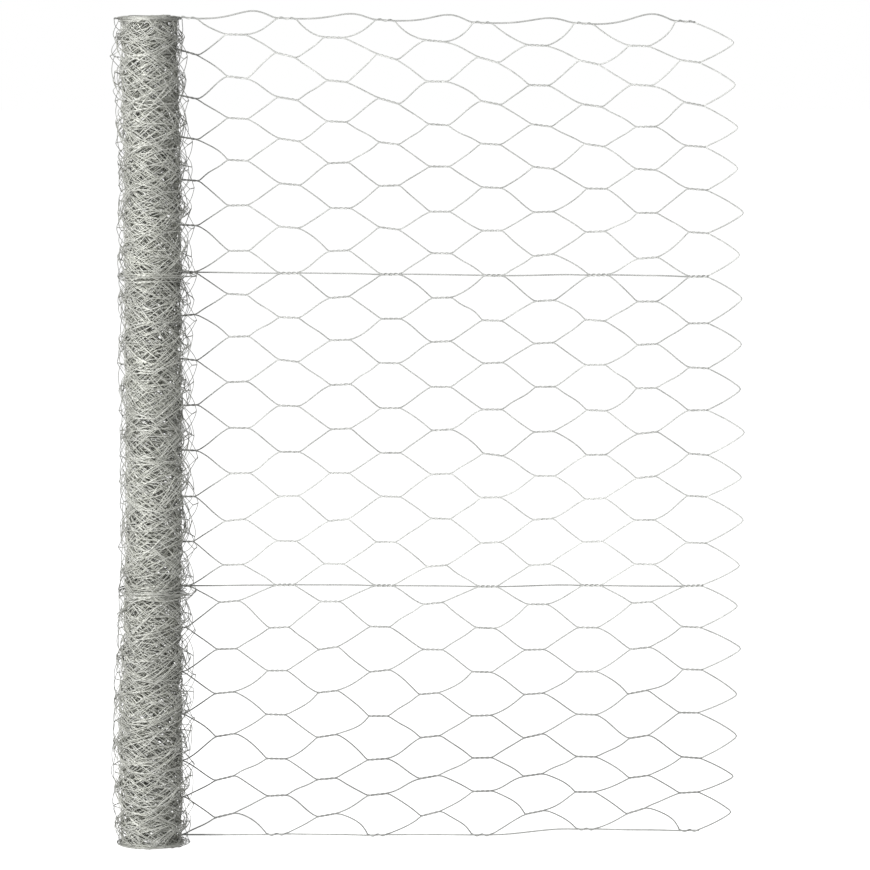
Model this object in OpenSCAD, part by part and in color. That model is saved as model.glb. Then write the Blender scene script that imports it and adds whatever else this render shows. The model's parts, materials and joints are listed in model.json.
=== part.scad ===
// Roll of hexagonal wire netting (chicken wire), standing on its end,
// with the last stretch of netting pulled out beside it as a flat sheet.
// Millimetres, +Z up. Origin: on the roll's axis, at the floor.
// The sheet lies in an XZ plane that touches the back of the roll.

/* [Netting] */
// Width of the netting, which is the height of the standing roll
netting_w = 1000; // [700:10:1500]
// Height of a row of cells, evened out so that whole rows fill each band
mesh_h = 52.5; // [40:0.5:62]
// Distance of a line wire from the edge of the netting next to it
line_inset = 309; // [160:1:320]
// Length of netting on the whole roll, pulled-out sheet included
netting_len = 10000; // [6000:250:16000]
// Length of one twisted joint, measured along the netting
twist_len = 24.3; // [12:0.1:34]
// Run of the single wire between two columns of twisted joints
wire_run = 38.15; // [24:0.05:50]

/* [Wire] */
// Diameter of the wire that the cells are woven from
mesh_wire_d = 1.2; // [0.6:0.05:1.5]
// Diameter of the straight line wires through the netting
line_wire_d = 1.3; // [0.7:0.05:1.8]
// Diameter of the straight selvedge wires along both edges
selvedge_wire_d = 1.4; // [0.8:0.05:2]

/* [Pulled-out sheet] */
// Repeats of the cell pattern in the pulled-out sheet
sheet_repeats = 5; // [2:1:8]
// How far the sheet's first tips lie past the line where it leaves the roll
tip_overlap = 7; // [2:0.5:12]
// Gap between the sheet's thickest straight wire and the roll
seat_gap = 0.2; // [0.1:0.05:0.4]

/* [Roll] */
// Diameter of the hollow in the middle of the roll
bore_d = 28; // [16:1:50]
// Thickness that one turn of netting takes up in the roll
turn_pitch = 0.42; // [0.36:0.02:0.8]
// How much fuller the roll is at a row of joints than halfway between two rows
row_swell = 3; // [1:0.2:5]
// Share of a row's height over which the roll is at its fullest
full_share = 0.4; // [0.2:0.05:0.7]
// Turns of netting between two gaps that show on the ends
turns_per_gap = 3; // [3:1:6]
// Width of such a gap
turn_gap = 0.45; // [0.3:0.05:0.7]
// Depth of that gap
turn_gap_depth = 2.4; // [1:0.2:6]

/* [Hidden] */
$fn = 96;

zinc = "#aeb0ab";
zinc_bright = "#bdbfba";
zinc_dark = "#8f918b";

// Heights of the four straight wires, and the rows of cells in the bands between them
bottom_z = selvedge_wire_d / 2;
lower_line_z = line_inset;
upper_line_z = netting_w - line_inset;
top_z = netting_w - selvedge_wire_d / 2;
edge_rows = round((lower_line_z - bottom_z) / mesh_h);
middle_rows = round((upper_line_z - lower_line_z) / mesh_h);

// Columns of twisted joints: an even one has joints on the straight wires,
// and an odd one has its joints half a row above them
columns = 2 * sheet_repeats + 1;
column_pitch = twist_len + wire_run;
first_column_x = wire_run + twist_len / 2 - tip_overlap;
sheet_left = -tip_overlap;
sheet_right = sheet_left + columns * column_pitch + wire_run;
last_joint_x = sheet_right - wire_run;

// The roll's radius follows from what is wound on it: the area of its end
// is the length of the wound netting times the thickness of a turn
wound_len = netting_len - (sheet_right - sheet_left);
bore_r = bore_d / 2;
roll_r = sqrt(pow(bore_r, 2) + wound_len * turn_pitch / PI);
gap_pitch = turns_per_gap * turn_pitch;
gap_turns = floor((roll_r - bore_r) / gap_pitch);
full_r = roll_r + row_swell / 2;
waist_r = roll_r - row_swell / 2;
sheet_y = full_r + seat_gap + max(selvedge_wire_d, line_wire_d, mesh_wire_d) / 2;

// Heights of the rows of joints, the two edges of the netting included
function rows_between(z_from, z_to, rows) =
  [for (row = [0 : rows - 1]) z_from + row * (z_to - z_from) / rows];

row_z = concat(
  rows_between(0, lower_line_z, edge_rows),
  rows_between(lower_line_z, upper_line_z, middle_rows),
  rows_between(upper_line_z, netting_w, edge_rows),
  [netting_w]
);

// Outline of the roll's outside from the floor up: full at each row of joints, with a waist between two
outline = concat(
  [[full_r, 0]],
  [
    for (row = [0 : len(row_z) - 2])
      let (
        row_h = row_z[row + 1] - row_z[row],
        full_h = full_share * row_h / 2
      )
      each [
        [full_r, row_z[row] + full_h],
        [waist_r, row_z[row] + row_h / 2],
        [full_r, row_z[row + 1] - full_h]
      ]
  ],
  [[full_r, netting_w]]
);

function column_x(column) = first_column_x + column * column_pitch;

// How far a cell's corner moves when its slanted sides get a thickness
function corner_inset(row_h) = mesh_wire_d * sqrt(pow(wire_run, 2) + pow(row_h / 2, 2)) / row_h;

// Half length of a cell's level side, when that side lies this far inside the cell's outline
function half_level_side(row_h, inset) = twist_len / 2 + 2 * wire_run * inset / row_h - corner_inset(row_h);

// Open hexagon of a cell around its middle; the insets are those of its upper and lower level sides
function cell_hole(row_h, inset_up, inset_down) =
  let (
    tip = twist_len / 2 + wire_run - corner_inset(row_h),
    up = half_level_side(row_h, inset_up),
    down = half_level_side(row_h, inset_down),
    z_up = row_h / 2 - inset_up,
    z_down = inset_down - row_h / 2
  )
  [[-tip, 0], [-down, z_down], [down, z_down], [tip, 0], [up, z_up], [-up, z_up]];

// Flat lattice of the cells between two straight wires
module lattice(z_from, z_to, rows, wire_below_d, wire_above_d) {
  row_h = (z_to - z_from) / rows;
  plain = mesh_wire_d / 2;
  on_wire_below = wire_below_d / 2 + mesh_wire_d;
  on_wire_above = wire_above_d / 2 + mesh_wire_d;
  edge_from = z_from + wire_below_d / 2;
  edge_to = z_to - wire_above_d / 2;
  difference() {
    translate([sheet_left, edge_from])
      square([sheet_right - sheet_left, edge_to - edge_from]);
    for (column = [0 : 2 : columns - 1], row = [0 : rows - 1])
      translate([column_x(column), z_from + (row + 0.5) * row_h])
        polygon(cell_hole(
          row_h,
          row == rows - 1 ? on_wire_above : plain,
          row == 0 ? on_wire_below : plain
        ));
    for (column = [-1 : 2 : columns], row = [0 : rows])
      translate([column_x(column), z_from + row * row_h])
        polygon(cell_hole(row_h, plain, plain));
  }
}

// Straight wire with flat sides up and down
module straight_wire(x_from, x_to, z, wire_d) {
  sides = 8;
  half_side = 180 / sides;
  translate([x_from, sheet_y, z])
    rotate([0, 90, 0])
      rotate([0, 0, half_side])
        cylinder(r = wire_d / 2 / cos(half_side), h = x_to - x_from, $fn = sides);
}

// Two wires twisted round each other, as one bar of their outer diameter
module twisted_joint(column, z) {
  straight_wire(
    column_x(column) - twist_len / 2,
    column_x(column) + twist_len / 2,
    z,
    2 * mesh_wire_d
  );
}

// Band of netting between two straight wires, its level edges lying on them
module netting(z_from, z_to, rows, wire_below_d, wire_above_d) {
  row_h = (z_to - z_from) / rows;
  translate([0, sheet_y, 0])
    rotate([90, 0, 0])
      linear_extrude(mesh_wire_d, center = true)
        lattice(z_from, z_to, rows, wire_below_d, wire_above_d);
  if (rows > 1)
    for (column = [0 : 2 : columns - 1], row = [1 : rows - 1])
      twisted_joint(column, z_from + row * row_h);
  for (column = [1 : 2 : columns - 1], row = [0 : rows - 1])
    twisted_joint(column, z_from + (row + 0.5) * row_h);
}

module netting_upper() {
  color(zinc) netting(upper_line_z, top_z, edge_rows, line_wire_d, selvedge_wire_d);
}

module netting_middle() {
  color(zinc) netting(lower_line_z, upper_line_z, middle_rows, line_wire_d, line_wire_d);
}

module netting_lower() {
  color(zinc) netting(bottom_z, lower_line_z, edge_rows, selvedge_wire_d, line_wire_d);
}

// Straight wire that runs the whole length of the sheet
module long_wire(z, wire_d) {
  straight_wire(sheet_left, last_joint_x, z, wire_d);
}

module selvedge_wire_top() {
  color(zinc_bright) long_wire(top_z, selvedge_wire_d);
}

module line_wire_upper() {
  color(zinc_bright) long_wire(upper_line_z, line_wire_d);
}

module line_wire_lower() {
  color(zinc_bright) long_wire(lower_line_z, line_wire_d);
}

module selvedge_wire_bottom() {
  color(zinc_bright) long_wire(bottom_z, selvedge_wire_d);
}

// Half a turn of the gap that shows on an end of the roll
module half_turn_gap(r) {
  rotate_extrude(angle = 180)
    translate([r - turn_gap / 2, 0])
      square([turn_gap, turn_gap_depth]);
}

// Spiral gap from the bore outwards: half circles about two centres half its pitch apart
module spiral_gap() {
  for (turn = [1 : gap_turns - 1]) {
    half_turn_gap(bore_r + turn * gap_pitch);
    if (turn < gap_turns - 1)
      translate([gap_pitch / 2, 0, 0])
        rotate([0, 0, 180])
          half_turn_gap(bore_r + (turn + 0.5) * gap_pitch);
  }
}

// The wound netting as one turned solid, with its bore, its rows and its turns showing on both ends
module wound_roll() {
  color(zinc_dark)
    difference() {
      rotate_extrude()
        polygon(concat([[bore_r, 0]], outline, [[bore_r, netting_w]]));
      spiral_gap();
      translate([0, 0, netting_w - turn_gap_depth])
        spiral_gap();
    }
}

wound_roll();
netting_upper();
netting_middle();
netting_lower();
selvedge_wire_top();
line_wire_upper();
line_wire_lower();
selvedge_wire_bottom();
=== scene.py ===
# Looks of a roll of chicken wire: every wire of its netting, woven, pulled out and wound up.
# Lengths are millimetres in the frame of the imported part, until a mesh is made in metres.

import json
import math

import bpy
import numpy as np
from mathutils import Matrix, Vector


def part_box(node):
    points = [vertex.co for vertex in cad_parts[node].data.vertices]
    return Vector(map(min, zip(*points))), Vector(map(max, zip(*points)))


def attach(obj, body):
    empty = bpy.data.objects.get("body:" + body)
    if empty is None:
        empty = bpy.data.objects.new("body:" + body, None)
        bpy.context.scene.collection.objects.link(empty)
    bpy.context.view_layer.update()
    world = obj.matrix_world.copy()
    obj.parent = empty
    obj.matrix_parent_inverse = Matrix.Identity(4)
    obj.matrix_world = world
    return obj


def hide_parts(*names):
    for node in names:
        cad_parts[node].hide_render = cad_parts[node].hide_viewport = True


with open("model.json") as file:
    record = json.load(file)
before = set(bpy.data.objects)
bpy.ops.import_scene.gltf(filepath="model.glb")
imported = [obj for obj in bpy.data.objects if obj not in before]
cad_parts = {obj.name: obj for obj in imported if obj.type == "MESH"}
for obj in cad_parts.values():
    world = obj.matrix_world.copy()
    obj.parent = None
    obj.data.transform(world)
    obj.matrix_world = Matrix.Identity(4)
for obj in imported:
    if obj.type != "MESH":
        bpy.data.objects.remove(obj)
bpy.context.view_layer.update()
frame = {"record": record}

MM = 0.001


def node_box(name):
    """Lowest and highest corner of a node of the part."""
    return [np.array(corner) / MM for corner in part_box(name)]


# Straight wires from the bottom up, the bands of netting between them, and the rows of cells in those
STRAIGHT_NODES = ("selvedge_wire_bottom", "line_wire_lower", "line_wire_upper", "selvedge_wire_top")
BAND_NODES = ("netting_lower", "netting_middle", "netting_upper")
BAND_ROWS = (6, 7, 6)

straight_boxes = [node_box(name) for name in STRAIGHT_NODES]
sheet_box = node_box("netting_middle")

# The part's own measures; a band is as thick as its joints, which are two wires
STRAIGHT_Z = [(lo[2] + hi[2]) / 2 for lo, hi in straight_boxes]
STRAIGHT_D = [hi[2] - lo[2] for lo, hi in straight_boxes]
SHEET_Y = (straight_boxes[0][0][1] + straight_boxes[0][1][1]) / 2
SHEET_LEFT = sheet_box[0][0]
SHEET_RIGHT = sheet_box[1][0]
LAST_JOINT_END = straight_boxes[0][1][0]
MESH_WIRE_D = (sheet_box[1][1] - sheet_box[0][1]) / 2
COLUMNS = 11
COLUMN_PITCH = (LAST_JOINT_END - SHEET_LEFT) / COLUMNS
WIRE_RUN = SHEET_RIGHT - LAST_JOINT_END
TWIST_LEN = COLUMN_PITCH - WIRE_RUN
FIRST_COLUMN_S = SHEET_LEFT + WIRE_RUN + TWIST_LEN / 2
HEIGHT = node_box("wound_roll")[1][2]
BORE_R = frame["record"]["mounts"][0]["dims"]["r_mm"]

ROWS = sum(BAND_ROWS)
LANES = 2 * ROWS
STRAIGHT_ROWS = [sum(BAND_ROWS[:i]) for i in range(len(BAND_ROWS) + 1)]
NETTING_LEN = 10000
WOUND_LEN = NETTING_LEN - (SHEET_RIGHT - SHEET_LEFT)
FIRST_COLUMN = -int(WOUND_LEN / COLUMN_PITCH)

# How the turns lie: packed closest on the outside of the core, with some sprung open round it,
# most of all to the right
CORE_R = 34.5
PACKING = 1.8
SPRING_OUT = 6.6
SPRING_TURNS = 6.5
LEAVE_OUT = SHEET_Y - CORE_R - SPRING_OUT
LEAVE_TURNS = 0.12
RIGHT_BULGE = 14.5
RIGHT_BULGE_TURNS = 2.2
RIGHT_BULGE_POWER = 1.5
LOOSE_TURNS = 2
ANGLE_STEP = 0.01

# Part of a turn over which the sheet takes the roll's shape
LEAVE_BLEND = 0.2

# The turns ripple, most of all the outermost ones, and the sheet waves from some way out
OUTER_RIPPLE, OUTER_RIPPLE_TURNS, CORE_RIPPLE = 1.0, 2, 0.4
SHEET_WAVE, SHEET_WAVE_START = 2.5, 200

# The cells of the outer turns are drawn in, and the columns of all turns have slipped a little
DRAWN_IN = 4
DRAWN_COLUMNS = 11
COLUMN_SLIP = 1.5

# Below, a step is given as (size, start, reach), where a negative reach runs downwards,
# and a bump as (size, centre, half width)

# The roll bows a little to the right between its two ends
LEAN_FOOT = -1.4
LEAN_STEPS = ((6.8, 100, 350), (-2.4, 820, 140))

# Its turns have slumped sideways near the floor, though less so right at the floor
SLUMP = 4.6
SLUMP_STEP = (1, 330, -200)
SLUMP_HELD = (0.4, 0, 40)

# The bulge to the right is held in at the top, where the turns have slumped, and at the floor
BULGE_HELD_TOP, BULGE_HELD_REACH = 0.8, 300
BULGE_HELD_SLUMP = 0.3
BULGE_HELD_FOOT = (0.2, 0, 50)

# The outermost turns flare out near the top, each one less than the turn round it, and do so
# to the left, which is a quarter of a turn from the back
TIP_FLARE = (7, 953, 45)
TIP_FLARE_TURNS, TIP_FLARE_SHARE, TIP_FLARE_WIDTH = 4, 0.6, 0.13
LEFT_TURN = 0.25

# The edges of the wound turns are tighter than the netting between them, though less so at the foot
# to the left, and they don't quite line up
RIM_TIGHT, RIM_TIGHT_REACH = 4.5, 22
RIM_FREE_LEFT = 0.4
RIM_STEP, RIM_DROP, RIM_COLUMNS = 1.2, 1.2, 6

# Handling has moved the sheet's joints along the netting: nearer the roll in the lower part,
# closer together, most of all at the top and near the middle, and out from the roll at the top
DRIFT, DRIFT_EASE = 20, 1.2
DRIFT_STEP = (1, 460, -310)
CLOSER = 0.53
CLOSER_TOP = (0.4, 720, 150)
CLOSER_MIDDLE = (2.2, 4.7, 2.2)
CLOSER_CORNER, CORNER_REACH = 1.6, 60
FIRST_OUT, FIRST_OUT_COLUMNS = (2.5, 700, 80), 1.2

# It has also moved them up and down: whole rows slope or shift, and so do some columns
ROW_SLOPES = ((0.95, 380, 200), (-0.6, 150, -150))
ROW_SHIFTS = ((2, 842, 60), (-3.5, 684, 45), (-4.5, 140, 70), (3, 0, 25), (4.5, 285, 22), (-5, 92, 22))
COLUMN_SHIFT = (-1.2, 6, 3)
EVEN_STEP, EVEN_SHIFT = (2, 700, 40), (1.5, 948, 20)

# Tilts of the joints in degrees, in even and in odd columns; the bumps near the top count from there
EVEN_TILT, EVEN_TILT_TOP, EVEN_TILT_LOW = 1, (13, 52, 110), (-4, 110, -60)
ODD_TILT, ODD_TILT_TOP, ODD_TILT_LOW = -2, (6, 80, 110), (-7, 310, -210)
ODD_TILT_FOOT = (-4, 26, 20)
MOST_TILT = 50

# The sheet's trends fade out over some columns of the roll, and chance grows there,
# though less near the netting's edges
SHEET_FADE = 6
CHANCE_ALONG, CHANCE_UP, CHANCE_TILT = 1.0, 0.9, 2.5
DEEP_FROM, DEEP_COLUMNS = 3, 6
DEEP_CHANCE, DEEP_TILT, DEEP_WANDER = 1.7, 4, 7
SLACK_REACH = 60

# Joints on a straight wire move and tilt less, and the others stay between these heights
HELD_MOVE, HELD_TILT = 0.4, 0.3
LOWEST_JOINT, HIGHEST_JOINT = 0.6, HEIGHT + 4

# Pulled straight, the sheet has drawn up a little from the floor
NARROWED = 2.7

# Places where handling has pushed the sheet's joints up: column, height, reach, and how far
LIFTS = ((6, 70, 40, 6.5), (8, 45, 20, 5), (8.4, 0, 22, 7.5), (10, 0, 22, 4.5))
LIFT_COLUMNS = 0.9

# The top selvedge sags between the roll and the far end, with humps between its joints,
# which lie nearer the joint to their right; the other straight wires have small ones
TOP_SAG, TOP_SAG_REACH = (7.2, 7.5, 3.8), 50
TOP_HUMPS = (8.5, 6.6, 8.5, 5.7, 9.0)
SMALL_HUMP = 0.8
HUMP_LATE, HUMP_SHARP = 1.9, 1.5

# Turns of two wires round each other in a joint, how near they lie, and how much nearer in the roll
TWIST_TURNS = 2
LOOSE_TWIST = 0.86
WOUND_TWIST = 0.7

# A joint's wires lie on the floor at the lowest
FLOOR_CLEAR = STRAIGHT_D[0] / 2 + MESH_WIRE_D

# Single wires hook into a joint by chance, more so near the floor and far out, and always at the edges,
# and those under the top selvedge sag
HOOK_MEAN, HOOK_SPREAD, HOOK_MOST = -0.06, 0.14, 0.6
HOOK_FOOT, HOOK_FAR = (0.13, 330, -200), (0.09, 4, 6)
EDGE_HOOKS = (0.3, 0.6)
EDGE_SAGS = (0.2, 0.5)

# How much single wires bow and wind in the netting, and stand off it
WIRE_BOW, WIRE_SKEW, WIRE_LIFT = 0.5, 0.5, 0.7

# Share of a run that is rounded at each end, and how soon a wire stops following the joint it leaves
WIRE_ROUNDING, STRAIGHT_ROUNDING = 0.05, 0.3
JOINT_FOLLOW = 6

# A joint is stiff, so its ends stand off a turn, most of all outside; its middle and the runs dip in
STIFF_CORE, STIFF_OUTSIDE, STIFF_COLUMNS = 0.25, 0.55, 9
JOINT_DIP, RUN_DIP = 6, 5.2

# Tips at the sheet's far end: how far they fall short, at half height and more at both edges,
# and how round and full they are, with some chance in both
TIP_SHORT, TIP_SHORT_EDGES, TIP_CHANCE = 2, 14, 2
TIP_ROUND, TIP_FULL, TIP_STRAY = 0.08, 0.06, 1.2

# The sheet's wires are drawn this much thicker than the solids, as they look in soft focus,
# and the wound ones that show are drawn finer
SHEET_WIRE_LOOK = 1.32
OUTER_WIRE_D, MIDDLE_WIRE_D = 0.75, 0.78

# Innermost columns of the outer and of the middle turns
OUTER_COLUMN, MIDDLE_COLUMN = -15, -39

# Sides of a wire, and its steps in a single run and in a joint
SHEET_FINENESS = (8, 12, 24)
OUTER_FINENESS = (6, 8, 16)
MIDDLE_FINENESS = (5, 6, 10)
INNER_FINENESS = (3, 4, 5)
SHEET_THROUGH_STEPS, WOUND_THROUGH_STEPS = 8, 4
LOOP_STEPS = 24

# Tones of single wires, which differ at random; painted light and shade on the sheet by height and
# by length; and a painted highlight that makes its twisted joints brighter
WIRE_TONES = (0.86, 1.12)
SHEET_PAINTED_LIGHT_LINE = (0.25, 400, 90)
SHEET_PAINTED_LIGHT_STEPS = ((-0.4, 330, -240), (0.15, 820, 80))
# Painted light along the sheet: brighter over the first joints by the roll, where the roll's shadow falls,
# and brighter towards the far end
LENGTH_PAINTED_LIGHT = 0.98
LENGTH_PAINTED_LIGHT_START = (0.5, 10, 35)
LENGTH_PAINTED_LIGHT_STEPS = ((0.13, 250, 350), (0.15, 640, 60))
# Painted highlight on the twisted joints
TWIST_PAINTED_HIGHLIGHT = 1.03
MOST_TONE = 1.4

# Painted shade and light on the roll: how much darker it is painted on its outside, left and right
# flank, foot and top, and how much brighter in a strip left of the middle
PAINTED_SHADE_OUTSIDE, PAINTED_SHADE_TURNS = 0.28, 3
PAINTED_SHADE_LEFT, PAINTED_SHADE_LEFT_POWER, PAINTED_SHADE_RIGHT = 0.4, 4, 0.26
PAINTED_LIGHT_STRIP = (0.15, 0.25, 0.25)
FLANK_TURNS = 9
PAINTED_SHADE_FOOT, PAINTED_SHADE_TOP = (-0.13, 0, 14), (-0.16, HEIGHT, 4)

# Margins in the unwrapped wires, as shares of a strip
STRIP_SPARE = 1.01
STRIP_EDGE, STRIP_FILL = 0.1, 0.8
CAP_R = 0.4

rng = np.random.default_rng(20)


def ramp(value):
    """Smooth step from 0 to 1."""
    t = np.clip(value, 0, 1)
    return t * t * (3 - 2 * t)


def hump(value, centre, half_width):
    """Smooth bump of height 1."""
    return np.exp(-(((value - centre) / half_width) ** 2))


def step(value, size, start, reach):
    """Smooth step of a size, from start on; a negative reach runs downwards."""
    return size * ramp((value - start) / reach)


def bump(value, size, centre, half_width):
    """Smooth bump of a size."""
    return size * hump(value, centre, half_width)


def steps(value, list_of_steps):
    """Sum of smooth steps."""
    return sum(step(value, *one) for one in list_of_steps)


class Ripple:
    """Smooth seeded noise over two variables, about 1 in size."""

    def __init__(self, reach_a, reach_b, waves=7):
        self.a = rng.normal(0, 1, waves) * 2 * math.pi / reach_a
        self.b = rng.normal(0, 1, waves) * 2 * math.pi / reach_b
        self.phase = rng.uniform(0, 2 * math.pi, waves)
        self.size = math.sqrt(2 / waves)

    def __call__(self, a, b):
        total = sum(
            np.sin(wa * a + wb * b + phase)
            for wa, wb, phase in zip(self.a, self.b, self.phase)
        )
        return total * self.size


# Winding


def spiral_table():
    """Turns of the core, angles from where the sheet leaves the roll, and the length up to each."""
    loose_len = 2 * math.pi * LOOSE_TURNS * (CORE_R + SPRING_OUT / 2)
    mean_core_r = CORE_R - (CORE_R - BORE_R) / (1 + PACKING)
    core_turns = (WOUND_LEN - loose_len) / (2 * math.pi * mean_core_r)
    angle = np.arange(0, 2 * math.pi * (LOOSE_TURNS + core_turns + 1), ANGLE_STEP)
    radius = turn_radius(angle, core_turns)
    length = np.concatenate([[0], np.cumsum((radius[1:] + radius[:-1]) / 2 * np.diff(angle))])
    return core_turns, angle, length


def turn_radius(angle, core_turns):
    """Radius of the wound netting at an angle counted from the back, on past a full turn."""
    turn = angle / (2 * math.pi)
    depth = np.maximum(turn - LOOSE_TURNS, 0) / core_turns
    packed = CORE_R - (CORE_R - BORE_R) * depth**PACKING
    sprung = SPRING_OUT * spring_share(turn) + LEAVE_OUT * np.exp(-turn / LEAVE_TURNS)
    return packed + sprung + right_bulge(angle)


def spring_share(turn):
    """How loose a turn is: 1 on the outside, and none deep in the roll."""
    return np.exp(-((turn / SPRING_TURNS) ** 3))


def right_bulge(angle):
    """How far the turns have sprung out to the right."""
    to_the_right = np.maximum(-np.sin(angle), 0) ** RIGHT_BULGE_POWER
    return RIGHT_BULGE * np.exp(-angle / (2 * math.pi) / RIGHT_BULGE_TURNS) * to_the_right


CORE_TURNS, SPIRAL_ANGLE, SPIRAL_LENGTH = spiral_table()

# Reaches of the ripples: along an angle, a length or the columns, and up the netting
turn_ripple = Ripple(2.6, 140)
sheet_ripple = Ripple(420, 500)
row_ripple = Ripple(9, 400)
rim_ripple = Ripple(10, 400)


def spiral_angle(s):
    """Angle wound up to a place along the netting; none in the sheet."""
    return np.interp(np.maximum(-s, 0), SPIRAL_LENGTH, SPIRAL_ANGLE)


def place(s, z, out):
    """Point and outward direction in space, for a place on the netting.

    s runs along the netting from the line where it leaves the roll, and out is off its surface.
    """
    angle = spiral_angle(s)
    turn = angle / (2 * math.pi)
    in_roll = ramp(turn / LEAVE_BLEND)
    looseness = (OUTER_RIPPLE * np.exp(-turn / OUTER_RIPPLE_TURNS) + CORE_RIPPLE) * in_roll
    flare = bump(z, *TIP_FLARE) * sum(
        TIP_FLARE_SHARE**n * hump(turn, n + LEFT_TURN, TIP_FLARE_WIDTH)
        for n in range(TIP_FLARE_TURNS)
    )
    slumped = step(z, *SLUMP_STEP) * (1 - bump(z, *SLUMP_HELD))
    held = BULGE_HELD_TOP * (1 - ramp((HEIGHT - z) / BULGE_HELD_REACH))
    held = held + BULGE_HELD_SLUMP * slumped + bump(z, *BULGE_HELD_FOOT)
    radius = turn_radius(angle, CORE_TURNS) + looseness * turn_ripple(angle, z)
    radius = radius + flare - right_bulge(angle) * held + out
    wave = SHEET_WAVE * sheet_ripple(s, z) * ramp(s / SHEET_WAVE_START)
    lean = (LEAN_FOOT + steps(z, LEAN_STEPS)) * in_roll
    foot_rim = hump(z, 0, RIM_TIGHT_REACH) * (1 - RIM_FREE_LEFT * np.maximum(np.sin(angle), 0))
    rim = hump(z, HEIGHT, RIM_TIGHT_REACH) + foot_rim
    half_width = radius + SLUMP * slumped - RIM_TIGHT * rim * spring_share(turn)
    x = np.maximum(s, 0) - half_width * np.sin(angle) + lean
    y = radius * np.cos(angle) + wave
    outward = np.stack([-np.sin(angle), np.cos(angle), np.zeros_like(angle)], axis=-1)
    return np.stack([x, y, z], axis=-1), outward


# Joints of the netting


def shift_along(pulled, z):
    """How far handling has moved the sheet's joints along the netting."""
    drift = -(DRIFT - DRIFT_EASE * pulled) * step(z, *DRIFT_STEP)
    corner = -CLOSER_CORNER * pulled * np.exp(-(HEIGHT - z) / CORNER_REACH)
    closer = (CLOSER + step(z, *CLOSER_TOP)) * pulled + bump(pulled, *CLOSER_MIDDLE)
    first_out = step(z, *FIRST_OUT) * np.exp(-pulled / FIRST_OUT_COLUMNS)
    return drift + corner - closer + first_out


def shift_up(pulled, z, level):
    """How far handling has moved the sheet's joints up."""
    rows_off = sum(bump(z, *shift) for shift in ROW_SHIFTS) + bump(pulled, *COLUMN_SHIFT)
    rows_off = rows_off + level * (step(z, *EVEN_STEP) + bump(z, *EVEN_SHIFT))
    return steps(z, ROW_SLOPES) * (COLUMNS / 2 - pulled) + rows_off


def sheet_tilt(z, level):
    """Tilt of the sheet's joints in degrees."""
    from_top = HEIGHT - z
    even = EVEN_TILT + bump(from_top, *EVEN_TILT_TOP) + step(z, *EVEN_TILT_LOW)
    odd = ODD_TILT + bump(from_top, *ODD_TILT_TOP) + step(z, *ODD_TILT_LOW) + bump(z, *ODD_TILT_FOOT)
    return np.where(level, even, odd)


class Joints:
    """Twisted joints by column and row: even columns sit on the straight wires' rows, odd ones between."""

    def __init__(self):
        self.columns = np.arange(FIRST_COLUMN, COLUMNS)
        row_z = np.concatenate(
            [
                np.linspace(STRAIGHT_Z[band], STRAIGHT_Z[band + 1], rows + 1)[:rows]
                for band, rows in enumerate(BAND_ROWS)
            ]
            + [[STRAIGHT_Z[-1]]]
        )
        half_z = np.append((row_z[1:] + row_z[:-1]) / 2, HEIGHT)
        level = (self.columns % 2 == 0)[:, None]
        self.z = np.where(level, row_z[None, :], half_z[None, :])
        wound = np.maximum(-self.columns, 0)
        slip = rng.normal(0, COLUMN_SLIP, len(self.columns)) * (wound > 0)
        slip = np.cumsum(slip[::-1])[::-1]
        drawn_in = DRAWN_IN * np.minimum(wound, DRAWN_COLUMNS)
        column_s = FIRST_COLUMN_S + COLUMN_PITCH * self.columns + drawn_in + slip
        self.s = np.repeat(column_s[:, None], ROWS + 1, axis=1)
        on_wire = np.zeros_like(self.s, dtype=bool)
        on_wire[:, STRAIGHT_ROWS] = True
        self.on_wire = on_wire & level
        self.disturb(level)

    def disturb(self, level):
        """Moves the joints as handling has: by named trends, and by chance."""
        column = self.columns[:, None]
        pulled = np.maximum(column, 0)
        z = self.z
        in_sheet = np.exp(np.minimum(column, 0) / SHEET_FADE)
        deep = 1 - np.exp(np.minimum(column + DEEP_FROM, 0) / DEEP_COLUMNS)
        chance = 1 + DEEP_CHANCE * deep
        wander = DEEP_WANDER * row_ripple(column, z) * self.slack() * deep
        along = shift_along(pulled, z) * in_sheet
        self.s = self.s + along + chance * rng.normal(0, CHANCE_ALONG, z.shape)
        up = shift_up(pulled, z, level) * in_sheet + chance * rng.normal(0, CHANCE_UP, z.shape)
        free_z = z + wander + np.where(self.on_wire, HELD_MOVE, 1) * up
        rim = RIM_STEP * rim_ripple(column, z)
        rim = np.where(z > HEIGHT / 2, rim - RIM_DROP, np.abs(rim)) * ramp(-column / RIM_COLUMNS)
        self.z = np.where(self.edge(), z + rim, np.clip(free_z, LOWEST_JOINT, HIGHEST_JOINT))
        sag = bump(column, *TOP_SAG) * np.exp(-(HEIGHT - z) / TOP_SAG_REACH)
        lifted = sum(
            far * hump(column, at, LIFT_COLUMNS) * hump(z, height, reach)
            for at, height, reach, far in LIFTS
        )
        drawn_up = NARROWED * (1 - z / HEIGHT) * in_sheet
        self.z = np.maximum(self.z - sag + drawn_up + lifted, FLOOR_CLEAR)
        chance_tilt = (1 + DEEP_TILT * deep * (1 + self.slack())) * rng.normal(0, CHANCE_TILT, z.shape)
        tilt = np.clip(sheet_tilt(z, level) * in_sheet + chance_tilt, -MOST_TILT, MOST_TILT)
        self.slope = -np.tan(np.radians(tilt)) * np.where(self.on_wire, HELD_TILT, 1)

    def slack(self):
        """How free the rows are to wander: not at all at the netting's edges."""
        return ramp(np.minimum(self.z, HEIGHT - self.z) / SLACK_REACH)

    def edge(self):
        """Joints on the two selvedges."""
        edge = np.zeros_like(self.on_wire)
        edge[:, [0, ROWS]] = self.on_wire[:, [0, ROWS]]
        return edge


joints = Joints()


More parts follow.
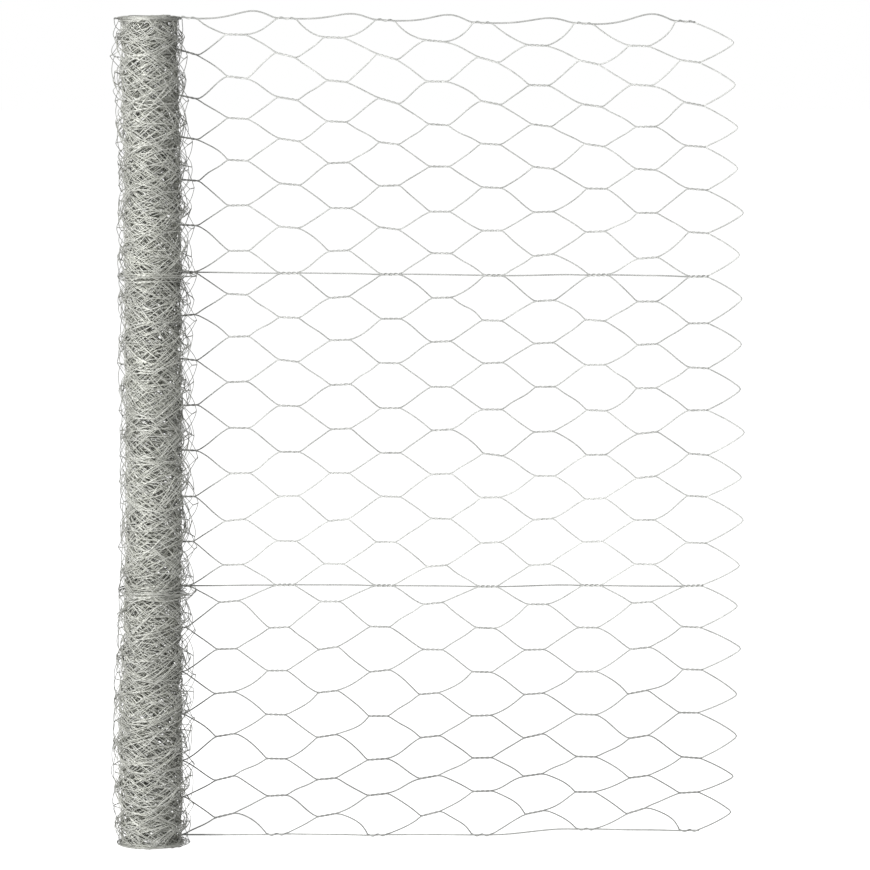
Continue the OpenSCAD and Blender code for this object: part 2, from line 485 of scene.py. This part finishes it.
class Lane:
    """One wire of the weave, which winds up and down between two rows of joints."""

    def __init__(self, number):
        columns = joints.columns
        level = columns % 2 == 0
        upper = number % 2
        row = np.where(level, (number + 1) // 2, number // 2)
        pick = (np.arange(len(columns)), row)
        self.side = np.where(level, 1 - 2 * upper, 2 * upper - 1)
        self.s = joints.s[pick]
        self.z = joints.z[pick]
        self.slope = joints.slope[pick]
        straight_d = np.zeros(len(columns))
        for straight_row, diameter in zip(STRAIGHT_ROWS, STRAIGHT_D):
            straight_d[(row == straight_row) & level] = diameter
        closeness = np.where(columns < 0, WOUND_TWIST, 1) * LOOSE_TWIST
        self.off_axis = closeness * (straight_d + MESH_WIRE_D) / 2
        at_edge = (number == 0) | (number == LANES - 1)
        loose = (step(self.z, *HOOK_FOOT) + step(columns, *HOOK_FAR)) * (columns >= 0)
        hook = np.clip(rng.normal(HOOK_MEAN, HOOK_SPREAD, len(columns)) + loose, 0, HOOK_MOST)
        self.hook = np.where(at_edge & level, rng.uniform(*EDGE_HOOKS, len(columns)), hook)
        top_sag = rng.uniform(*EDGE_SAGS, len(columns))
        self.sag = np.where((number == LANES - 1) & ~level, top_sag, 0)
        self.bow = rng.normal(0, WIRE_BOW, len(columns))
        self.skew = rng.normal(0, WIRE_SKEW, len(columns))
        self.lift = rng.normal(0, WIRE_LIFT, len(columns))

    def ends(self, index):
        """Left and right end of the joints at these places in the column list, as (s, z) pairs."""
        half = TWIST_LEN / 2
        strand = self.side[index] * self.off_axis[index]
        left = self.s[index] - half, self.z[index] - half * self.slope[index] + strand
        right = self.s[index] + half, self.z[index] + half * self.slope[index] + strand
        return left, right

    def path(self, first, last, run_steps, twist_steps):
        """Wire from the joints before column first to those of column last, as s, z and out."""
        index = np.arange(first, last + 1) - FIRST_COLUMN
        _, (s_from, z_from) = self.ends(index - 1)
        (s_to, z_to), _ = self.ends(index)
        stiff = chord_stiffness(joints.columns[index])[:, None]
        t = np.linspace(0, 1, run_steps + 1)[None, 1:]
        run = self.single_run(index, s_from, z_from, s_to, z_to, t)
        run_out = self.lift[index, None] * np.sin(math.pi * t) + stiff * (1 - RUN_DIP * t * (1 - t))
        u = np.linspace(0, 1, twist_steps + 1)[None, 1:]
        turn = 2 * math.pi * TWIST_TURNS * u
        strand = (self.side * self.off_axis)[index, None]
        along = (u - 0.5) * TWIST_LEN
        twist_s = self.s[index, None] + along
        twist_z = self.z[index, None] + self.slope[index, None] * along + strand * np.cos(turn)
        twist_out = strand * np.sin(turn) + stiff * (1 - JOINT_DIP * u * (1 - u))
        s = np.concatenate([run[0], twist_s], axis=1).ravel()
        z = np.concatenate([run[1], twist_z], axis=1).ravel()
        out = np.concatenate([run_out, twist_out], axis=1).ravel()
        start = np.array([s_from[0]]), np.array([z_from[0]]), np.array([stiff[0, 0]])
        return [np.concatenate(pair) for pair in zip(start, (s, z, out))]

    def single_run(self, index, s_from, z_from, s_to, z_to, t):
        """Single wire between two joints: a slant with rounded ends.

        It hooks into the second joint, or sags from the first one.
        """
        hook = self.hook[index, None]
        sag = self.sag[index, None]
        length = (s_to - s_from)[:, None]
        rise = (z_to - z_from)[:, None]
        early, late = 1 - (1 - t) ** 2, t**2
        plain = 1 - hook - sag
        along = plain * t + hook * early + sag * late
        up = plain * rounded_slant(t, WIRE_ROUNDING) + hook * late + sag * early
        bow = self.bow[index, None] * np.sin(math.pi * t)
        skew = self.skew[index, None] * np.sin(2 * math.pi * t)
        leave = self.slope[index - 1, None] * length * t * (1 - t) ** JOINT_FOLLOW
        return s_from[:, None] + length * along, z_from[:, None] + rise * up + bow + skew + leave


def rounded_slant(t, rounding):
    """Straight rise from 0 to 1 whose two ends are rounded to level."""
    steep = 1 / (1 - rounding)
    low = steep * t**2 / (2 * rounding)
    high = 1 - steep * (1 - t) ** 2 / (2 * rounding)
    return np.where(t < rounding, low, np.where(t > 1 - rounding, high, steep * (t - rounding / 2)))


def chord_stiffness(column):
    """How far the ends of a straight joint stand off a turn; less where the turns are packed."""
    wound = STIFF_CORE + STIFF_OUTSIDE * np.exp(np.minimum(column, 0) / STIFF_COLUMNS)
    return np.where(column < 0, wound, 0)


class StraightWire:
    """A selvedge or line wire, which runs through its row's joints."""

    def __init__(self, place_in_list):
        level = np.flatnonzero(joints.columns % 2 == 0)
        row = STRAIGHT_ROWS[place_in_list]
        self.columns = joints.columns[level]
        self.s = joints.s[level, row]
        self.z = joints.z[level, row]
        self.slope = joints.slope[level, row]
        self.hump = rng.uniform(0, SMALL_HUMP, len(level))
        if row == ROWS:
            self.hump[-len(TOP_HUMPS) :] = TOP_HUMPS

    def path(self, first, last, run_steps, twist_steps):
        """Wire from the right end of the joint before column first to that of column last."""
        index = np.flatnonzero((self.columns >= first) & (self.columns <= last))
        half = TWIST_LEN / 2
        index = index[index > 0]
        s_from, z_from = self.s[index - 1] + half, self.z[index - 1] + half * self.slope[index - 1]
        s_to, z_to = self.s[index] - half, self.z[index] - half * self.slope[index]
        t = np.linspace(0, 1, run_steps + 1)[None, 1:]
        length = (s_to - s_from)[:, None]
        rise = (z_to - z_from)[:, None]
        humped = self.hump[index, None] * np.sin(math.pi * t**HUMP_LATE) ** HUMP_SHARP
        run_s = s_from[:, None] + length * t
        run_z = z_from[:, None] + rise * rounded_slant(t, STRAIGHT_ROUNDING) + humped
        u = np.linspace(0, 1, twist_steps + 1)[None, 1:]
        along = (u - 0.5) * TWIST_LEN
        twist_s = self.s[index, None] + along
        twist_z = self.z[index, None] + self.slope[index, None] * along
        s = np.concatenate([s_from[:1], np.concatenate([run_s, twist_s], axis=1).ravel()])
        z = np.concatenate([z_from[:1], np.concatenate([run_z, twist_z], axis=1).ravel()])
        return [s, z, np.zeros_like(s)]


lanes = [Lane(number) for number in range(LANES)]
straight_wires = [StraightWire(i) for i in range(len(STRAIGHT_NODES))]


def end_loop(row):
    """Rounded tip that joins the two wires of a row past the last joints."""
    last = len(joints.columns) - 1
    _, (s_low, z_low) = lanes[2 * row].ends(last)
    _, (s_high, z_high) = lanes[2 * row + 1].ends(last)
    middle = (z_low + z_high) / 2
    belly = TIP_SHORT + TIP_SHORT_EDGES * ((middle - HEIGHT / 2) / (HEIGHT / 2)) ** 2
    reach = SHEET_RIGHT - belly + rng.normal(0, TIP_CHANCE)
    t = np.linspace(-1, 1, LOOP_STEPS + 1)
    widest = math.sqrt(1 + TIP_ROUND**2)
    point = (widest - np.sqrt(t**2 + TIP_ROUND**2)) / (widest - TIP_ROUND)
    start = np.where(t < 0, s_low, s_high)
    s = start + (reach - start) * point
    fullness = t + TIP_FULL * np.sin(math.pi * t)
    z = middle + (z_high - z_low) / 2 * fullness + rng.normal(0, TIP_STRAY) * point
    return [s, z, np.zeros_like(s)]


# Meshes


class Tubes:
    """Round wires gathered into one mesh; few-sided ones are widened to a round wire's mean width."""

    def __init__(self, sides):
        self.sides = sides
        self.widen = math.pi / (sides * math.sin(math.pi / sides))
        self.points = []
        self.quads = []
        self.caps = []
        self.tone = []
        self.spans = []
        self.count = 0

    def add(self, s, z, out, diameter, tone):
        """One wire along a path on the netting."""
        centre, outward = place(s, z, out)
        radius = diameter / 2 * self.widen
        centre[:, 2] = np.maximum(centre[:, 2], radius)
        along = np.gradient(centre, axis=0)
        along /= np.linalg.norm(along, axis=1)[:, None]
        across = np.cross(along, outward)
        across /= np.linalg.norm(across, axis=1)[:, None]
        normal = np.cross(across, along)
        angle = (2 * math.pi * np.arange(self.sides) / self.sides)[None, :, None]
        ring = np.cos(angle) * normal[:, None] + np.sin(angle) * across[:, None]
        points = centre[:, None] + radius * ring
        rings = len(centre)
        low = self.count + self.sides * np.arange(rings - 1)[:, None]
        high = low + self.sides
        corner = np.arange(self.sides)[None, :]
        following = (corner + 1) % self.sides
        quads = np.stack([low + corner, low + following, high + following, high + corner], axis=-1)
        self.points.append(points.reshape(-1, 3))
        self.quads.append(quads.reshape(-1, 4))
        self.caps.append(self.count + np.arange(self.sides)[::-1])
        self.caps.append(self.count + self.sides * (rings - 1) + np.arange(self.sides))
        self.tone.append(np.repeat(np.broadcast_to(tone, rings), self.sides))
        self.spans.append(np.linalg.norm(np.diff(centre, axis=0), axis=1))
        self.count += rings * self.sides

    def strip_uv(self):
        """Unwrapped wires, cut into strips that fill the unit square; the caps share the last strip."""
        span = np.concatenate(self.spans)
        end = np.cumsum(span)
        begin = end - span
        around = math.pi * MESH_WIRE_D
        strips = max(1, int(math.sqrt(end[-1] / around)))
        strip_len = end[-1] / strips * STRIP_SPARE + span.max()
        strip = np.floor(begin / strip_len)
        u_from = begin / strip_len - strip
        u_to = u_from + span / strip_len
        scale = 1 / max(1.0, u_to.max())
        corner = np.arange(self.sides)
        v_from = strip[:, None] + STRIP_EDGE
        v_low = (v_from + STRIP_FILL * corner / self.sides) / (strips + 1)
        v_high = (v_from + STRIP_FILL * (corner + 1) / self.sides) / (strips + 1)
        u_low = np.repeat(u_from[:, None] * scale, self.sides, axis=1)
        u_high = np.repeat(u_to[:, None] * scale, self.sides, axis=1)
        quads = np.stack([u_low, v_low, u_low, v_high, u_high, v_high, u_high, v_low], axis=-1)
        turn = 2 * math.pi * corner / self.sides
        cap_u = 0.5 + CAP_R * np.cos(turn)
        cap_v = strips + 0.5 + CAP_R * np.sin(turn)
        cap = np.stack([cap_u, cap_v], axis=-1) / (strips + 1)
        return np.concatenate([quads.ravel(), np.tile(cap.ravel(), len(self.caps))])

    def piece(self, name, material, node):
        """Mesh object of the gathered wires, riding on the part."""
        points = np.concatenate(self.points) * MM
        quads = np.concatenate(self.quads)
        caps = np.array(self.caps)
        mesh = bpy.data.meshes.new(name)
        mesh.vertices.add(len(points))
        mesh.vertices.foreach_set("co", points.ravel())
        corners = np.concatenate([quads.ravel(), caps.ravel()])
        mesh.loops.add(len(corners))
        mesh.loops.foreach_set("vertex_index", corners.astype(np.int32))
        cap_start = 4 * len(quads) + self.sides * np.arange(len(caps))
        starts = np.concatenate([4 * np.arange(len(quads)), cap_start])
        mesh.polygons.add(len(starts))
        mesh.polygons.foreach_set("loop_start", starts.astype(np.int32))
        round_face = np.arange(len(starts)) < len(quads)
        mesh.polygons.foreach_set("use_smooth", round_face)
        mesh.update(calc_edges=True)
        tone = mesh.attributes.new("tone", "FLOAT", "POINT")
        tone.data.foreach_set("value", np.concatenate(self.tone).astype(np.float32))
        mesh.uv_layers.new(name="OFBake").data.foreach_set("uv", self.strip_uv().astype(np.float32))
        mesh.materials.append(material)
        obj = bpy.data.objects.new(name, mesh)
        bpy.context.scene.collection.objects.link(obj)
        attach(obj, "root")
        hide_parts(node)


# Materials


def add_node(tree, kind, **inputs):
    """New node with some of its sockets set."""
    node = tree.nodes.new(kind)
    for socket, value in inputs.items():
        node.inputs[socket.replace("_", " ")].default_value = value
    return node


def zinc(name, dull, bright, rough_from, rough_to):
    """Galvanised wire: a blotchy zinc coat with small spangles, scaled by the tone attribute, which holds
    each wire's own tone and the painted light and shade along the wires.
    """
    material = bpy.data.materials.new(name)
    material.use_nodes = True
    tree = material.node_tree
    link = tree.links.new
    shader = tree.nodes["Principled BSDF"]
    shader.inputs["Metallic"].default_value = 0.15
    where = add_node(tree, "ShaderNodeTexCoord")
    blotch = add_node(tree, "ShaderNodeTexNoise", Scale=70.0, Detail=4.0, Roughness=0.6)
    spangle = add_node(tree, "ShaderNodeTexVoronoi", Scale=420.0)
    grain = add_node(tree, "ShaderNodeTexNoise", Scale=2600.0, Detail=2.0)
    for texture in (blotch, spangle, grain):
        link(where.outputs["Object"], texture.inputs["Vector"])
    colour = add_node(tree, "ShaderNodeValToRGB")
    colour.color_ramp.elements[0].position = 0.3
    colour.color_ramp.elements[0].color = (*dull, 1)
    colour.color_ramp.elements[1].position = 0.72
    colour.color_ramp.elements[1].color = (*bright, 1)
    link(blotch.outputs["Fac"], colour.inputs["Fac"])
    flake = add_node(tree, "ShaderNodeMapRange", To_Min=0.86, To_Max=1.1)
    link(spangle.outputs["Color"], flake.inputs["Value"])
    tone = tree.nodes.new("ShaderNodeAttribute")
    tone.attribute_name = "tone"
    both = tree.nodes.new("ShaderNodeMath")
    both.operation = "MULTIPLY"
    link(flake.outputs["Result"], both.inputs[0])
    link(tone.outputs["Fac"], both.inputs[1])
    tinted = tree.nodes.new("ShaderNodeVectorMath")
    tinted.operation = "SCALE"
    link(colour.outputs["Color"], tinted.inputs["Vector"])
    link(both.outputs["Value"], tinted.inputs["Scale"])
    link(tinted.outputs["Vector"], shader.inputs["Base Color"])
    rough = add_node(tree, "ShaderNodeMapRange", To_Min=rough_from, To_Max=rough_to)
    link(blotch.outputs["Fac"], rough.inputs["Value"])
    link(rough.outputs["Result"], shader.inputs["Roughness"])
    coat = add_node(tree, "ShaderNodeBump", Strength=0.25, Distance=0.0001)
    link(grain.outputs["Fac"], coat.inputs["Height"])
    link(coat.outputs["Normal"], shader.inputs["Normal"])
    return material


# The wound and the netting wires are one zinc: the roll's copy is painted paler, as painted light, and the
# netting's and straight wires' copies darker, as painted shade
lit_wound_zinc = zinc(
    "lit_wound_zinc",
    dull=(0.6, 0.606, 0.55),
    bright=(0.816, 0.822, 0.776),
    rough_from=0.36,
    rough_to=0.6,
)
shaded_netting_zinc = zinc(
    "shaded_netting_zinc",
    dull=(0.425, 0.432, 0.414),
    bright=(0.645, 0.651, 0.629),
    rough_from=0.38,
    rough_to=0.6,
)
straight_zinc = zinc(
    "straight_zinc",
    dull=(0.43, 0.437, 0.42),
    bright=(0.63, 0.636, 0.615),
    rough_from=0.32,
    rough_to=0.5,
)


# Pieces


def wire_tone():
    """Tone of one wire against the others."""
    return rng.uniform(*WIRE_TONES)


def sheet_painted_light(row, s):
    """Painted light and shade along a row of the sheet.

    It is painted darker near the floor, and painted brighter at the top, over the lower line wire and at
    both ends.
    """
    z = HEIGHT * (row + 0.5) / ROWS
    by_height = 1 + bump(z, *SHEET_PAINTED_LIGHT_LINE) + steps(z, SHEET_PAINTED_LIGHT_STEPS)
    # painted light along the length
    by_length = LENGTH_PAINTED_LIGHT + bump(s, *LENGTH_PAINTED_LIGHT_START) + steps(s, LENGTH_PAINTED_LIGHT_STEPS)
    return by_height * by_length


def twist_painted_highlight(run_steps, twist_steps):
    """Tone along one wire of the sheet: a painted highlight makes it brighter in its joints."""
    repeat = np.repeat([1, TWIST_PAINTED_HIGHLIGHT], [run_steps, twist_steps])
    return np.concatenate([[1], np.tile(repeat, COLUMNS)])


def make_sheet():
    """The pulled-out netting, in the bands between its straight wires."""
    sides, run_steps, twist_steps = SHEET_FINENESS
    wire_d = SHEET_WIRE_LOOK * MESH_WIRE_D
    for band, node in enumerate(BAND_NODES):
        tubes = Tubes(sides)
        for row in range(STRAIGHT_ROWS[band], STRAIGHT_ROWS[band + 1]):
            for lane in lanes[2 * row : 2 * row + 2]:
                path = lane.path(0, COLUMNS - 1, run_steps, twist_steps)
                # painted light and shade along the sheet, with painted highlights in the joints, times
                # each wire's own random tone
                tone = sheet_painted_light(row, path[0]) * twist_painted_highlight(run_steps, twist_steps)
                tubes.add(*path, wire_d, np.minimum(tone * wire_tone(), MOST_TONE))
            path = end_loop(row)
            tubes.add(*path, wire_d, sheet_painted_light(row, path[0]) * wire_tone())
        tubes.piece("sheet_" + node, shaded_netting_zinc, node)
    for wire, node, diameter in zip(straight_wires, STRAIGHT_NODES, STRAIGHT_D):
        tubes = Tubes(sides)
        path = wire.path(0, COLUMNS - 1, 2 * run_steps, SHEET_THROUGH_STEPS)
        tubes.add(*path, SHEET_WIRE_LOOK * diameter, wire_tone())
        tubes.piece("sheet_" + node, straight_zinc, node)


def roll_painted_light(s, z):
    """Painted shade and light along the wound netting: darker on the outside, on both flanks and at both
    ends, brighter left of the middle.
    """
    angle = spiral_angle(s)
    turn = angle / (2 * math.pi)
    to_the_left = np.sin(angle)
    # painted shade on both flanks and painted light on a strip left of the middle, by angle round the roll
    left = PAINTED_SHADE_LEFT * np.maximum(to_the_left, 0) ** PAINTED_SHADE_LEFT_POWER
    right = PAINTED_SHADE_RIGHT * np.maximum(-to_the_left, 0)
    by_side = (bump(to_the_left, *PAINTED_LIGHT_STRIP) - left - right) * np.exp(-turn / FLANK_TURNS)
    # painted shade on the outermost turns
    outside = 1 - PAINTED_SHADE_OUTSIDE * np.exp(-turn / PAINTED_SHADE_TURNS) + by_side
    # painted shade at the foot and at the top of the roll
    return outside * (1 + bump(z, *PAINTED_SHADE_FOOT) + bump(z, *PAINTED_SHADE_TOP))


def make_turns(name, first, last, fineness, wire_d):
    """The wound netting from one column of joints to another."""
    sides, run_steps, twist_steps = fineness
    tubes = Tubes(sides)
    paths = [(lane.path(first, last, run_steps, twist_steps), wire_d) for lane in lanes]
    for wire, diameter in zip(straight_wires, STRAIGHT_D):
        path = wire.path(first, last, 2 * run_steps, WOUND_THROUGH_STEPS)
        paths.append((path, diameter * wire_d / MESH_WIRE_D))
    for path, diameter in paths:
        # painted light and shade of the roll, times each wire's own random tone
        tubes.add(*path, diameter, roll_painted_light(path[0], path[1]) * wire_tone())
    tubes.piece(name, lit_wound_zinc, "wound_roll")


def make_roll():
    """The wound netting, with finer wires where they show."""
    halfway = (FIRST_COLUMN + MIDDLE_COLUMN) // 2
    make_turns("roll_outer_turns", OUTER_COLUMN, -1, OUTER_FINENESS, OUTER_WIRE_D)
    make_turns("roll_middle_turns", MIDDLE_COLUMN, OUTER_COLUMN - 1, MIDDLE_FINENESS, MIDDLE_WIRE_D)
    make_turns("roll_inner_turns", halfway, MIDDLE_COLUMN - 1, INNER_FINENESS, MESH_WIRE_D)
    make_turns("roll_innermost_turns", FIRST_COLUMN + 1, halfway - 1, INNER_FINENESS, MESH_WIRE_D)


make_sheet()
make_roll()


# Floor, light and camera, in metres


def camera_white(tree, plain, white):
    """Shader that shows white to the camera and to mirror-like rays, and its plain self to the rest."""
    link = tree.links.new
    path = tree.nodes.new("ShaderNodeLightPath")
    seen = path.outputs["Is Camera Ray"]
    for other in ("Is Glossy Ray", "Is Transmission Ray"):
        largest = tree.nodes.new("ShaderNodeMath")
        largest.operation = "MAXIMUM"
        link(seen, largest.inputs[0])
        link(path.outputs[other], largest.inputs[1])
        seen = largest.outputs["Value"]
    mix = tree.nodes.new("ShaderNodeMixShader")
    link(seen, mix.inputs["Fac"])
    link(plain.outputs[0], mix.inputs[1])
    link(white.outputs[0], mix.inputs[2])
    return mix


def make_floor():
    """Pale floor that looks white and keeps a soft shadow."""
    reach = 40
    mesh = bpy.data.meshes.new("floor")
    corners = [(-reach, -reach, 0), (reach, -reach, 0), (reach, reach, 0), (-reach, reach, 0)]
    mesh.from_pydata(corners, [], [(0, 1, 2, 3)])
    floor = bpy.data.objects.new("floor", mesh)
    bpy.context.scene.collection.objects.link(floor)
    material = bpy.data.materials.new("pale_floor")
    material.use_nodes = True
    tree = material.node_tree
    tree.nodes.remove(tree.nodes["Principled BSDF"])
    pale = add_node(tree, "ShaderNodeBsdfDiffuse", Color=(0.8, 0.8, 0.8, 1))
    glow = add_node(tree, "ShaderNodeEmission", Strength=0.98)
    lit = tree.nodes.new("ShaderNodeAddShader")
    tree.links.new(pale.outputs[0], lit.inputs[0])
    tree.links.new(glow.outputs[0], lit.inputs[1])
    mix = camera_white(tree, pale, lit)
    tree.links.new(mix.outputs[0], tree.nodes["Material Output"].inputs["Surface"])
    mesh.materials.append(material)


def make_world():
    """Even soft light from all round, and a white backdrop."""
    world = bpy.data.worlds.new("studio")
    world.use_nodes = True
    tree = world.node_tree
    ambient = tree.nodes["Background"]
    ambient.inputs["Strength"].default_value = 0.08
    ambient.inputs["Color"].default_value = (1, 1, 1, 1)
    white = add_node(tree, "ShaderNodeBackground", Color=(1, 1, 1, 1), Strength=1.0)
    mix = camera_white(tree, ambient, white)
    tree.links.new(mix.outputs[0], tree.nodes["World Output"].inputs["Surface"])
    bpy.context.scene.world = world


def make_lamp(name, spot, aim, size, watts):
    """Square soft lamp that faces a point."""
    data = bpy.data.lights.new(name, "AREA")
    data.size = size
    data.energy = watts
    lamp = bpy.data.objects.new(name, data)
    lamp.location = spot
    facing = Vector(aim) - Vector(spot)
    lamp.rotation_euler = facing.to_track_quat("-Z", "Y").to_euler()
    bpy.context.scene.collection.objects.link(lamp)


def make_camera():
    """Camera at the height of the roll's top, a little tilted down."""
    distance, eye_height, sideways = 5.0, 1.0, 0.3435
    tilt_down = math.radians(5.716)
    data = bpy.data.cameras.new("camera")
    data.sensor_width = 36
    data.lens = 172.8
    camera = bpy.data.objects.new("camera", data)
    camera.location = (sideways, -distance, eye_height)
    camera.rotation_euler = (math.pi / 2 - tilt_down, 0, 0)
    bpy.context.scene.collection.objects.link(camera)
    bpy.context.scene.camera = camera


make_floor()
make_world()
make_lamp("key_left", spot=(-2.2, -3.5, 2.1), aim=(0, 0, 0.5), size=1.6, watts=207)
make_camera()
bpy.context.scene.view_settings.view_transform = "Standard"
